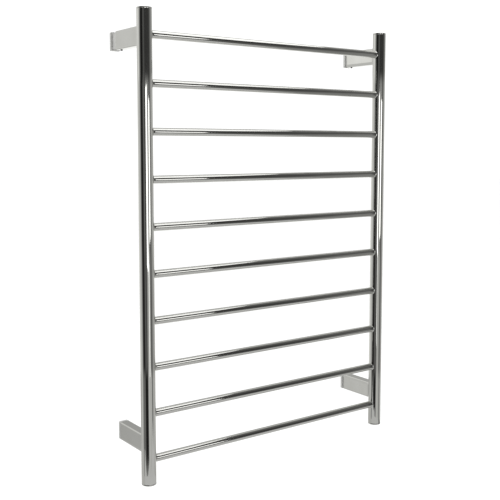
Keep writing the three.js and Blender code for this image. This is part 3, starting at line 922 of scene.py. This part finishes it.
# %% Terminal block
POLES = (-1, 0, 1)
TERMINAL_CORNER, TERMINAL_EDGE = 0.001, 0.0005
WIRE_WAY_RADIUS, WIRE_WAY_DEPTH = 0.0012, 0.0182
SCREW_WELL_RADIUS, SCREW_WELL_INSET = 0.001, 0.0096
SMALL_BORE_SEGMENTS = 24
low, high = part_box("terminal_block")
wide, _, tall = size_of("terminal_block")
x, _, z = centre_of("terminal_block")
points = carried(eased((wide, tall, TERMINAL_CORNER), low.y, high.y, TERMINAL_EDGE))
cutters = []
for pole in POLES:
    across = pole * wide / len(POLES)
    way = bore(WIRE_WAY_RADIUS, -high.y, WIRE_WAY_DEPTH - high.y, MIDDLE, Y, SMALL_BORE_SEGMENTS)
    cutters.append(way * np.array([1, -1, 1]) + np.array([across, 0, 0]))
    well = bore(SCREW_WELL_RADIUS, -tall / 2, 0, MIDDLE, Z, SMALL_BORE_SEGMENTS)
    cutters.append(well * np.array([1, 1, -1]) + np.array([across, high.y - SCREW_WELL_INSET, 0]))
block = carve(grid_piece("terminal_block_body", points, CERAMIC), cutters, (x, 0, z))
seat(block, "terminal_block")
print("terminal block", len(block.data.polygons), "faces")

# %% [markdown]
# ## Light
# Polished tubes show nothing but the room, so the room is most of what is seen. It is a
# white studio with a dark screen to the left, the dim depth of the hall above and behind
# the camera, and a pale floor. An image of a studio could do this, but bands of tone,
# chosen by direction, are enough, and they stay soft and clean. Each band lies between two
# heights above level and has its own run of tones round the compass.

# %% Bands of tone
TONE_TOP = 2.0  # the brightest tone that a band may have
WHITE = 1.16  # the studio as the eye and matt surfaces see it
MIRROR_TINT = (1, 1, 0.985, 1)
# Compass degrees run from straight out of the wall (0) to the right along the rungs (90);
# a band is (its top in degrees above level, the softness there, its stops), from the top.
BANDS = [
    (90, 0, [
        (-180, 0.8), (-100, 0.8), (-70, 0.16), (60, 0.13), (80, 0.3), (90, 0.45), (114, 0.78),
        (180, 0.8),
    ]),
    (40, 10, [
        (-180, 1.0), (-152, 0.9), (-144, 1.1), (-135, 1.27), (-125, 0.9), (-104, 0.35), (-92, 0.03),
        (-64, 0.01), (-54, 0.11), (-40, 0.13), (-28, 0.05), (38, 0.06), (48, 0.16), (74, 0.38),
        (100, 0.6), (120, 0.85), (134, 0.55), (160, 0.5), (180, 1.0),
    ]),
    (4.6, 0.5, [
        (-180, 1.15), (-145, 0.88), (-118, 0.75), (-104, 0.2), (-94, 0.02), (-74, 0.02), (-62, 0.12),
        (-53, 0.28), (-47, 0.2), (-41, 0.07), (-34, 0.08), (-27, 0.36), (4, 0.45), (30, 0.2),
        (34, 0.08), (40, 0.1), (44, 0.3), (58, 0.42), (74, 0.66), (110, 0.8), (140, 1.2), (180, 1.15),
    ]),
    (-7.2, 0.4, [
        (-180, 1.15), (-145, 0.87), (-118, 0.7), (-104, 0.25), (-94, 0.02), (-70, 0.03), (-54, 0.2),
        (-46, 0.14), (-40, 0.06), (-34, 0.1), (-26, 0.38), (-10, 0.6), (6, 0.7), (20, 0.45),
        (30, 0.15), (40, 0.12), (45, 0.3), (74, 0.55), (105, 0.8), (135, 1.2), (180, 1.15),
    ]),
    (-15.3, 0.5, [
        (-180, 0.66), (-152, 0.6), (-136, 0.85), (-118, 0.75), (-104, 0.3), (-92, 0.2), (-70, 0.22),
        (-64, 0.03), (-34, 0.01), (-28, 0.1), (-22, 0.4), (-14, 0.85), (3, 0.69), (32, 0.7),
        (36, 0.15), (42, 0.15), (48, 0.4), (58, 0.65), (110, 0.8), (135, 1.2), (180, 0.8),
    ]),
    (-22, 1.5, [
        (-180, 0.75), (-100, 0.68), (32, 0.7), (36, 0.12), (42, 0.12), (46, 0.3), (90, 0.36),
        (108, 0.6), (125, 1.1), (180, 0.9),
    ]),
]
print(len(BANDS), "bands of tone")

# %% World tree
studio = bpy.data.worlds.new("studio")
bpy.context.scene.world = studio
studio.use_nodes = True
studio.node_tree.nodes.clear()
add_light_node = node_maker(studio.node_tree)
link_light = studio.node_tree.links.new


def maths(operation, *values):
    """One math node on numbers or on other nodes' outputs."""
    node = add_light_node("ShaderNodeMath", operation=operation)
    for socket, value in zip(node.inputs, values):
        if isinstance(value, (int, float)):
            socket.default_value = value
        else:
            link_light(value, socket)
    return node.outputs[0]


print("world", studio.name)


# %% Steps and runs of tone
def step(value, at, soft):
    """0 below at, 1 above it, with a smooth rise between at - soft and at + soft."""
    node = add_light_node("ShaderNodeMapRange", interpolation_type="SMOOTHSTEP")
    node.inputs["From Min"].default_value = at - soft
    node.inputs["From Max"].default_value = at + soft
    link_light(value, node.inputs["Value"])
    return node.outputs["Result"]


def tones(value, stops):
    """A run of tones over the compass, from stops of (degrees, tone)."""
    curve = add_light_node("ShaderNodeFloatCurve")
    points = curve.mapping.curves[0].points
    while len(points) < len(stops):
        points.new(0.5, 0.5)
    for point, (degrees, tone) in zip(points, stops):
        point.location = ((degrees + 180) / 360, tone / TONE_TOP)
        point.handle_type = "VECTOR"
    curve.mapping.update()
    link_light(value, curve.inputs["Value"])
    return maths("MULTIPLY", curve.outputs[0], TONE_TOP)


# %% World
def background(colour):
    """A background of one colour."""
    node = add_light_node("ShaderNodeBackground")
    node.inputs["Color"].default_value = colour
    return node


direction = add_light_node("ShaderNodeTexCoord").outputs["Generated"]
parts = add_light_node("ShaderNodeSeparateXYZ")
link_light(direction, parts.inputs[0])
x, y, z = parts.outputs
compass = maths("ARCTAN2", x, maths("MULTIPLY", y, -1.0))
around = maths("ADD", maths("DIVIDE", compass, 2 * math.pi), 0.5)
height = maths("DEGREES", maths("ARCSINE", z))

room = tones(around, BANDS[0][2])
for top, soft, stops in BANDS[1:]:
    band = tones(around, stops)
    above = maths("MULTIPLY", step(height, top, soft), maths("SUBTRACT", room, band))
    room = maths("ADD", band, above)

mirror = background(MIRROR_TINT)
link_light(room, mirror.inputs["Strength"])
white = background((1, 1, 1, 1))
white.inputs["Strength"].default_value = WHITE
rays = add_light_node("ShaderNodeLightPath")
mix = add_light_node("ShaderNodeMixShader")
link_light(rays.outputs["Is Glossy Ray"], mix.inputs[0])
link_light(white.outputs[0], mix.inputs[1])
link_light(mirror.outputs[0], mix.inputs[2])
link_light(mix.outputs[0], add_light_node("ShaderNodeOutputWorld").inputs["Surface"])
print("world nodes", len(studio.node_tree.nodes))

# %% [markdown]
# ## Panels and the floor
# Four bright things are near: two white panels that stand farther out than the camera, a
# low pale box before them and a wide canopy overhead. As they are near, their stripes sit
# in a different place on each post and rung, which bands of far tone can't do, so they are
# area lamps that mirrors see and the eye doesn't. Under the rail lies a glowing sheet shaped
# like the studio paper on the floor. It is a painted reflection that only mirrors see: it
# glows at the paper's tone instead of being lit. Its front edge draws a slanted line in the
# posts' lower ends.

# %% Panels
FACE_WALL, FACE_DOWN = 90, 0  # degrees about X from a lamp that shines down
# name: (middle, width, height or depth, how it faces, tone)
PANELS = {
    "left_panel": ((-0.83, -2.24, 0.485), 0.78, 0.85, FACE_WALL, 2.4),
    "right_panel": ((1.04, -2.84, 0.50), 1.08, 0.80, FACE_WALL, 2.2),
    "low_box": ((-0.264, -1.47, -0.01), 0.30, 0.42, FACE_WALL, 0.9),
    "canopy": ((0.11, -0.675, 2.1), 2.22, 1.75, FACE_DOWN, 1.7),
}
for name, (place, wide, tall, tilt, tone) in PANELS.items():
    data = bpy.data.lights.new(name, "AREA")
    data.shape = "RECTANGLE"
    data.size = wide
    data.size_y = tall
    data.energy = tone * math.pi * wide * tall  # the same tone at any size
    lamp = bpy.data.objects.new(name, data)
    lamp.location = place
    lamp.rotation_euler = (math.radians(tilt), 0, 0)
    lamp.visible_camera = False
    bpy.context.scene.collection.objects.link(lamp)
print("panels", list(PANELS))

# %% Floor
FLOOR_HEIGHT = -0.75
FLOOR_REACH = 30
# the glow of the painted paper reflection: how bright the paper looks in mirrors
PAPER_GLOW = 0.76
PAPER_OUTLINE = [(-2.35, 0), (-2.35, -0.3), (-1.15, -1.85), (1.3, -1.95), (1.3, 0)]


def floor_sheet(name, outline, material):
    """A flat sheet on the floor. The outline is its corners
    (x, y), counterclockwise from above, so that it faces up."""
    mesh = bpy.data.meshes.new(name)
    mesh.from_pydata([(*corner, FLOOR_HEIGHT) for corner in outline], [], [range(len(outline))])
    mesh.materials.append(material)
    sheet = bpy.data.objects.new(name, mesh)
    bpy.context.scene.collection.objects.link(sheet)
    return sheet


square = [(-FLOOR_REACH, -FLOOR_REACH), (FLOOR_REACH, -FLOOR_REACH),
          (FLOOR_REACH, FLOOR_REACH), (-FLOOR_REACH, FLOOR_REACH)]
floor_finish = grained("pale_floor", (0.93, 0.93, 0.93), 0.01, 0.8, 20, 0.0001)
floor = floor_sheet("floor", square, floor_finish)
floor.visible_glossy = False
print("floor at", FLOOR_HEIGHT)

# %% Paper
# Painted reflection: a black sheet that glows rather than being lit. Only mirrors see it.
paper_light, paper_shader, _, _ = new_material("paper_light")
paper_shader.inputs["Base Color"].default_value = (0, 0, 0, 1)
paper_shader.inputs["Specular IOR Level"].default_value = 0
paper_shader.inputs["Emission Color"].default_value = (1, 1, 1, 1)
paper_shader.inputs["Emission Strength"].default_value = PAPER_GLOW
paper = floor_sheet("paper", PAPER_OUTLINE, paper_light)
paper.visible_camera = False
paper.visible_diffuse = False
paper.visible_shadow = False
bpy.context.scene.view_settings.view_transform = "Standard"
print("paper corners", len(PAPER_OUTLINE))
